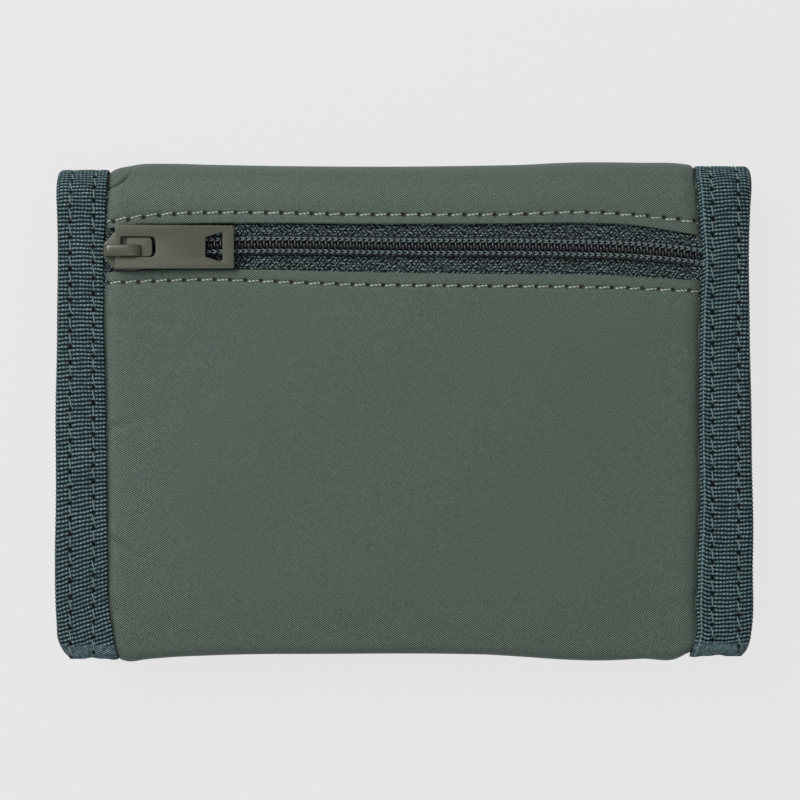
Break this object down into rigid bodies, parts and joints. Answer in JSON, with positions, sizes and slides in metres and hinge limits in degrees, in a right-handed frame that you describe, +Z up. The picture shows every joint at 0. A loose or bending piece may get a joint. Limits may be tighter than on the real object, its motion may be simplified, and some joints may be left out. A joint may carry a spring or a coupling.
{
  "type": "bifold wallet",
  "caption": "Closed bifold wallet of padded nylon twill with bound sides, card pockets, a note pocket and a zipped coin pocket whose slider and pull tab move.",
  "frame": {"origin": "middle of the closed wallet's footprint, on the surface its front panel lies on", "axes": "+X along the fold, towards the side the zip opens to; +Y towards the spine, -Y towards the free edges; +Z up, from the front panel to the zipped back panel"},
  "size_m": [0.14, 0.0999, 0.0206],
  "materials": {
    "shell_nylon": "matte nylon twill, dusty grey-green",
    "lining_nylon": "plain-woven nylon lining, grey-green",
    "binding_tape": "ribbed grosgrain tape, dark teal",
    "zip_tape": "fine woven polyester zip tape, near black teal",
    "zip_coil": "satin polyester monofilament",
    "foam": "grey laminated foam sheet",
    "hook_and_loop": "dark green hook and loop tape",
    "slider_paint": "olive satin paint over die-cast zinc"
  },
  "bodies": {
    "front_panel": {"front_shell": "shell_nylon", "front_padding": "foam", "front_lining": "lining_nylon", "front_card_backing": "lining_nylon", "front_card_pocket_rear": "lining_nylon", "front_card_pocket_middle": "lining_nylon", "front_card_pocket_front": "lining_nylon", "front_binding_left": "binding_tape", "front_binding_right": "binding_tape", "hook_strip": "hook_and_loop"},
    "spine": {"spine_shell": "shell_nylon", "spine_lining": "lining_nylon", "spine_binding_left": "binding_tape", "spine_binding_right": "binding_tape"},
    "back_panel": {"back_shell_yoke": "shell_nylon", "back_shell_face": "shell_nylon", "back_binding_left": "binding_tape", "back_binding_right": "binding_tape", "coin_pocket_front": "lining_nylon", "coin_pocket_back": "lining_nylon", "back_padding": "foam", "back_lining": "lining_nylon", "back_card_backing": "lining_nylon", "back_card_pocket_rear": "lining_nylon", "back_card_pocket_front": "lining_nylon", "loop_strip": "hook_and_loop", "zip_tape_upper": "zip_tape", "zip_tape_lower": "zip_tape", "zip_coil_upper": "zip_coil", "zip_coil_lower": "zip_coil"},
    "zip_slider": {"slider_body": "slider_paint", "slider_bridge": "slider_paint"},
    "pull_tab": {"pull_tab": "slider_paint"}
  },
  "joints": [
    {"name": "spine_fold", "type": "hinge", "parent": "front_panel", "child": "spine", "pos_m": [0, 0.04815, 0.00185], "axis": [-1, 0, 0], "range_deg": [0, 84]},
    {"name": "back_fold", "type": "hinge", "parent": "spine", "child": "back_panel", "pos_m": [0, 0.04815, 0.01515], "axis": [-1, 0, 0], "range_deg": [0, 84]},
    {"name": "zip_slide", "type": "slide", "parent": "back_panel", "child": "zip_slider", "axis": [1, 0, 0], "range_m": [0, 0.102]},
    {"name": "pull_swing", "type": "hinge", "parent": "zip_slider", "child": "pull_tab", "pos_m": [-0.05725, 0.0329, 0.01912], "axis": [0, -1, 0], "range_deg": [0, 170]}
  ],
  "couplings": [
    {"joint": "back_fold", "follows": "spine_fold", "ratio": 1}
  ]
}
